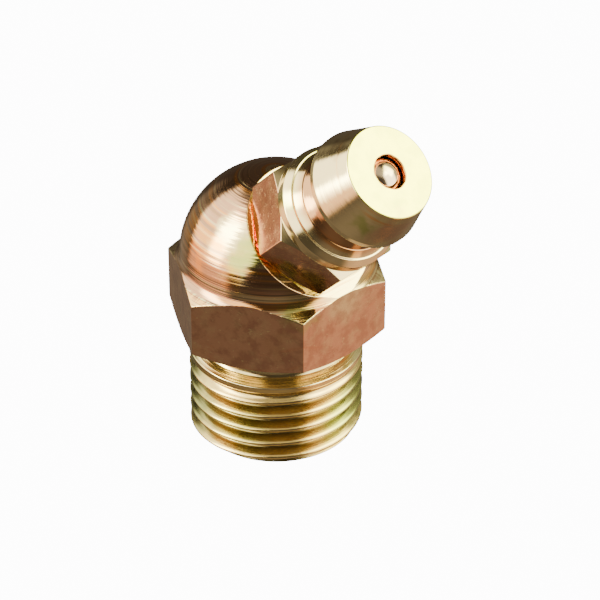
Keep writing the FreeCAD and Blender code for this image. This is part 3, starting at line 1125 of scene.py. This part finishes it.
def plated_finish(name, finish, regions, stains_and_light, hollow, ring_depth, seed):
    """Satin yellow zinc plate over turned and milled steel: the base colour changes with the
    region's mark, then stain patches, mottling and marks of handling lie over it, and some
    patches are painted highlights, painted shade and a painted reflection. hollow names the
    colour painted as shade in thread roots and the neck."""
    material, mix = new_finish(name)
    flat, thread = mix.mark("flat"), mix.mark("thread")
    smooth = mix.sum(flat, mix.times(thread, THREAD_WEAR))
    rings = mix.times(turning_marks(mix, seed), mix.less(1.0, smooth))
    specks = mix.times(handling_marks(mix, seed), flat)
    shade = drifting(mix, colour(finish.cream), finish, seed)
    # Painted reflection: the spot face's orange glow lies under the regions' colours.
    shade = lay_stains_and_light(mix, shade, finish, SPOT_FACE_GLOW, seed)
    mottle = mix.ramp(mix.noise(mix.placed(1.1, seed + 2.2), 5.0, 0.6), 0.42, 0.62, 0.0, 0.4)
    for mark, colour_name, strength in regions:
        layer = mix.times(mix.mark(mark), strength)
        shade = laid_over(mix, shade, finish, colour_name, layer)
    shade = ringed(mix, shade, finish, seed)
    # The body's table also lays painted highlights and painted shade.
    shade = lay_stains_and_light(mix, shade, finish, stains_and_light, seed)
    for colour_name, layer in (
        ("maroon", mix.times(mottle, flat)),
        ("green", mix.times(mix.times(mottle, 0.8), mix.mark("face"))),
        # painted shade: the hollow colour darkens the thread's roots, the undercut and the neck,
        # where it also paints an orange reflection
        (hollow, mix.times(mix.mark("root"), 0.8)),
        ("cream", mix.times(specks, 0.45)),
    ):
        shade = laid_over(mix, shade, finish, colour_name, layer)
    cloud = mix.noise(mix.placed(1.1, seed + 1.7), 3.0)
    satin = mix.ramp(cloud, 0.3, 0.7, 0.10, 0.17)
    grain = mix.noise(mix.placed(5.0, seed + 4.4), 2.0)
    normal = mix.bumps([(rings, ring_depth), (grain, GRAIN_DEPTH), (specks, SPECK_DEPTH)])
    mix.metal(shade, mix.sum(satin, mix.times(thread, THREAD_ROUGHNESS)), normal)
    return material


def body_finish(finish):
    """Plate on the body: gold thread, rosy dome, clay flats and a pale spot face, with painted
    shade in the thread's roots and on its sides and painted highlights on the dome and chamfer.
    """
    regions = (("thread", "gold", 0.9), ("dome", "rose", 0.85), ("flat", "clay", 0.85))
    return plated_finish(
        "body plate", finish, regions, BODY_STAINS_AND_LIGHT, "groove", ring_depth=0.035 * MM, seed=0.0
    )


def nipple_finish(finish):
    """Plate on the nipple, yellow on the tip face, with a painted orange reflection round the
    punched mouth and painted shade in the neck.
    """
    # The mouth's colour is a painted orange reflection round the punched mouth.
    regions = (("flat", "clay", 0.85), ("face", "straw", 0.95), ("mouth", "neck_shade_and_mouth_glow", 0.9))
    return plated_finish(
        "nipple plate", finish, regions, NIPPLE_STAINS, "neck_shade_and_mouth_glow", ring_depth=0.006 * MM, seed=11.0
    )


def ball_finish(finish):
    """Polished ball with a faint haze."""
    material, mix = new_finish("polished ball")
    haze = mix.noise(mix.placed(3.0), 2.0)
    shade = mix.blend(colour(finish.ball), colour(finish.cream), mix.times(haze, 0.3))
    mix.metal(shade, mix.ramp(haze, 0.3, 0.7, 0.08, 0.18), None)
    return material


def spring_finish(finish):
    """Bright drawn wire with dull, slightly rough clouds."""
    material, mix = new_finish("drawn wire")
    clouds = mix.noise(mix.placed(8.0), 2.0)
    shade = mix.blend(colour(finish.spring), colour(finish.groove), mix.times(clouds, 0.2))
    mix.metal(shade, mix.ramp(clouds, 0.3, 0.7, 0.2, 0.35), mix.bumps([(clouds, 0.001 * MM)]))
    return material


# --- stage ---------------------------------------------------------------------------

# Soft boxes round the nipple: name, azimuth and elevation of the middle, half width, half
# height and softness of the edge, all in degrees, then brightness and tint.
SOFT_BOXES = (
    ("left window", -123, 28, 47, 32, 6, 4.0, (1.0, 0.91, 0.64)),
    ("left core", -121, 26, 10, 24, 8, 16.0, (1.0, 0.97, 0.62)),
    ("left fringe", 178, -10, 14, 22, 12, 0.30, (1.0, 0.90, 0.60)),
    ("right window", 28, 18, 28, 36, 14, 4.6, (1.0, 0.92, 0.62)),
    ("right core", 53, 44, 18, 22, 10, 7.8, (1.0, 0.98, 0.40)),
    ("right crown", 18, 50, 8, 8, 6, 8.0, (1.0, 0.95, 0.45)),
    ("right edge", 78, 15, 20, 42, 12, 0.6, (1.0, 0.95, 0.55)),
    ("top", -70, 76, 40, 22, 20, 0.6, (1.0, 0.90, 0.60)),
    ("floor left", -131, -13, 30, 12, 10, 2.2, (1.0, 0.58, 0.32)),
    ("floor right", 50, -40, 38, 16, 14, 0.75, (1.0, 0.58, 0.36)),
    ("floor front", -72, -38, 40, 20, 20, 0.06, (1.0, 0.80, 0.60)),
    ("floor glint", 20, -58, 7, 9, 5, 1.4, (1.0, 0.52, 0.16)),
    ("floor middle", 180, -87, 12, 12, 6, 0.5, (1.0, 0.66, 0.34)),
    ("floor under", 0, -90, 58, 58, 24, 0.10, (1.0, 0.75, 0.50)),
)
ROOM_SHADE = (0.09, 0.075, 0.055)
FLOOR_GLOW = 14.0


def facing(azimuth, elevation):
    """Unit vector towards a place given by azimuth (from +X, anticlockwise) and elevation."""
    a, e = math.radians(azimuth), math.radians(elevation)
    return Vector((math.cos(a) * math.cos(e), math.sin(a) * math.cos(e), math.sin(e)))


# A soft box is seen only where the direction lies in front of its plane: the cosine at
# which it sets in, and the one at which it is full.
IN_FRONT = (0.02, 0.1)


def soft_box(mix, direction, azimuth, elevation, half_width, half_height, soft, brightness):
    """Brightness of one flat soft box in a direction: the direction is cast on the box's
    plane, and the brightness falls off smoothly beyond its half width and half height."""
    middle = facing(azimuth, elevation)
    side = facing(azimuth + 90, 0)
    depth = mix.vectors("DOT_PRODUCT", direction, middle, output=1)
    inside = mix.ramp(depth, *IN_FRONT)
    for axis, half in ((side, half_width), (middle.cross(side), half_height)):
        along = mix.vectors("DOT_PRODUCT", direction, axis, output=1)
        offset = mix.maths("ABSOLUTE", mix.maths("DIVIDE", along, depth))
        inner = math.tan(math.radians(half - soft / 2))
        outer = math.tan(math.radians(half + soft / 2))
        inside = mix.times(inside, mix.ramp(offset, inner, outer, 1.0, 0.0))
    return mix.times(inside, brightness)


def build_room():
    """World: a dim room with soft boxes, seen by the metal only."""
    world = bpy.data.worlds.new("studio")
    world.use_nodes = True
    bpy.context.scene.world = world
    mix = Mixing(world.node_tree)
    direction = mix.add("ShaderNodeTexCoord", output=0)
    light = ROOM_SHADE
    for name, *form, shade in SOFT_BOXES:
        glow = soft_box(mix, direction, *form)
        glow.node.label = name
        light = mix.vectors("ADD", light, mix.vectors("SCALE", shade, None, None, glow))
    background = mix.add("ShaderNodeBackground", (light, 1.0))
    mix.add("ShaderNodeOutputWorld", (background,))


def build_floor(finish):
    """Floor that curves up into a round backdrop: a profile carried once round Z."""
    radius, bend, wall = 1.2, 0.8, 1.5
    turn = np.linspace(-math.pi / 2, 0, 17)
    profile_r = np.concatenate([[0.0], radius + bend * np.cos(turn), [radius + bend]])
    profile_z = np.concatenate([[0.0], bend + bend * np.sin(turn), [wall + bend]])
    angle = np.linspace(0, FULL_TURN, 97)
    section = np.stack(np.broadcast_arrays(profile_r[:, None], profile_z[:, None]), axis=-1)
    section = np.broadcast_to(section, (len(profile_r), len(angle), 2))
    floor = make_piece("studio floor", turned(section, angle), {})
    floor.visible_glossy = False
    floor.visible_diffuse = False
    material, mix = new_finish("pale floor")
    glow = mix.add("ShaderNodeEmission", (colour(finish.floor), FLOOR_GLOW))
    mix.add("ShaderNodeOutputMaterial", (glow,))
    floor.data.materials.append(material)


def build_camera(stage):
    """Camera on a circle round the aim point, turned about its own line of sight."""
    a, e = stage.azimuth, stage.elevation
    back = Vector((math.sin(a) * math.cos(e), -math.cos(a) * math.cos(e), math.sin(e)))
    data = bpy.data.cameras.new("camera")
    data.sensor_width = 36.0
    data.lens = stage.lens
    data.shift_x, data.shift_y = stage.shift_x, stage.shift_y
    data.clip_start, data.clip_end = 0.01, 20.0
    camera = bpy.data.objects.new("camera", data)
    turn = (-back).to_track_quat("-Z", "Y").to_matrix().to_4x4()
    place = Matrix.Translation(Vector((0, 0, stage.aim_height)) + back * stage.distance)
    camera.matrix_world = place @ turn @ Matrix.Rotation(stage.roll, 4, "Z")
    bpy.context.scene.collection.objects.link(camera)
    bpy.context.scene.camera = camera


# --- operators and panel -------------------------------------------------------------


def shorten(spring, body, nipple, valve):
    """Gives the spring a mesh of its own."""
    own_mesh(spring)


def dress(piece, material, body_name, node):
    """Gives a piece its finish and ties it to the packed part."""
    piece.data.materials.append(material)
    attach(piece, body_name)
    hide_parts(node)


class NIPPLE_OT_body(bpy.types.Operator):
    """Build the elbow body with its thread, hexagon, dome and passages"""

    bl_idname = "grease_nipple.body"
    bl_label = "Elbow Body"

    def execute(self, context):
        scene = context.scene
        points, marks = build_body(scene.nipple_body_sizes)
        piece = make_piece("elbow_body_plated", points, marks)
        dress(piece, body_finish(scene.nipple_finish), "fitting", "elbow_body")
        return {"FINISHED"}


class NIPPLE_OT_head(bpy.types.Operator):
    """Build the screwed-in nipple with its coupler head, collar and hexagon"""

    bl_idname = "grease_nipple.head"
    bl_label = "Coupler Head"

    def execute(self, context):
        scene = context.scene
        points, marks = build_nipple(
            scene.nipple_body_sizes, scene.nipple_head_sizes, scene.nipple_valve_sizes
        )
        piece = make_piece("coupler_head_plated", points, marks)
        dress(piece, nipple_finish(scene.nipple_finish), "fitting", "nipple_head")
        return {"FINISHED"}


class NIPPLE_OT_ball(bpy.types.Operator):
    """Build the check ball in the mouth of the tip"""

    bl_idname = "grease_nipple.ball"
    bl_label = "Check Ball"

    def execute(self, context):
        scene = context.scene
        piece = make_piece("ball_polished", *build_ball(scene.nipple_valve_sizes))
        dress(piece, ball_finish(scene.nipple_finish), "valve_ball", "check_ball")
        return {"FINISHED"}


class NIPPLE_OT_spring(bpy.types.Operator):
    """Build the coil spring behind the ball"""

    bl_idname = "grease_nipple.spring"
    bl_label = "Spring"

    def execute(self, context):
        scene = context.scene
        sizes = scene.nipple_body_sizes, scene.nipple_head_sizes, scene.nipple_valve_sizes
        piece = make_piece("spring_coiled", *build_spring(*sizes))
        dress(piece, spring_finish(scene.nipple_finish), "fitting", "ball_spring")
        shorten(piece, *sizes)
        return {"FINISHED"}


class NIPPLE_OT_stage(bpy.types.Operator):
    """Set up the floor, the soft boxes and the camera"""

    bl_idname = "grease_nipple.stage"
    bl_label = "Studio"

    def execute(self, context):
        scene = context.scene
        build_room()
        build_floor(scene.nipple_finish)
        build_camera(scene.nipple_stage)
        return {"FINISHED"}


class NIPPLE_PT_panel(bpy.types.Panel):
    """Sizes and colours of the grease nipple, with a button for each group of pieces"""

    bl_idname = "NIPPLE_PT_panel"
    bl_label = "Grease Nipple"
    bl_space_type = "VIEW_3D"
    bl_region_type = "UI"
    bl_category = "Grease Nipple"

    def draw(self, context):
        for operator in OPERATORS:
            self.layout.operator(operator.bl_idname)
        for attribute, group in GROUPS.items():
            settings = getattr(context.scene, attribute)
            box = self.layout.box()
            box.label(text=group.__doc__)
            for name in group.__annotations__:
                box.prop(settings, name)


GROUPS = {
    "nipple_body_sizes": BodySizes,
    "nipple_head_sizes": NippleSizes,
    "nipple_valve_sizes": ValveSizes,
    "nipple_finish": Finish,
    "nipple_stage": StageSizes,
}
OPERATORS = (
    NIPPLE_OT_stage, NIPPLE_OT_body, NIPPLE_OT_head, NIPPLE_OT_ball, NIPPLE_OT_spring
)


def register():
    """Registers the classes and gives the scene each group of sizes and colours."""
    for group in (*GROUPS.values(), *OPERATORS, NIPPLE_PT_panel):
        bpy.utils.register_class(group)
    for attribute, group in GROUPS.items():
        setattr(bpy.types.Scene, attribute, PointerProperty(type=group))


def unregister():
    """Takes back what register did."""
    for attribute in GROUPS:
        delattr(bpy.types.Scene, attribute)
    for group in reversed((*GROUPS.values(), *OPERATORS, NIPPLE_PT_panel)):
        bpy.utils.unregister_class(group)


def main():
    """Registers the classes, then builds the stage and every piece."""
    register()
    bpy.ops.grease_nipple.stage()
    bpy.ops.grease_nipple.body()
    bpy.ops.grease_nipple.head()
    bpy.ops.grease_nipple.ball()
    bpy.ops.grease_nipple.spring()


if __name__ == "__main__":
    main()
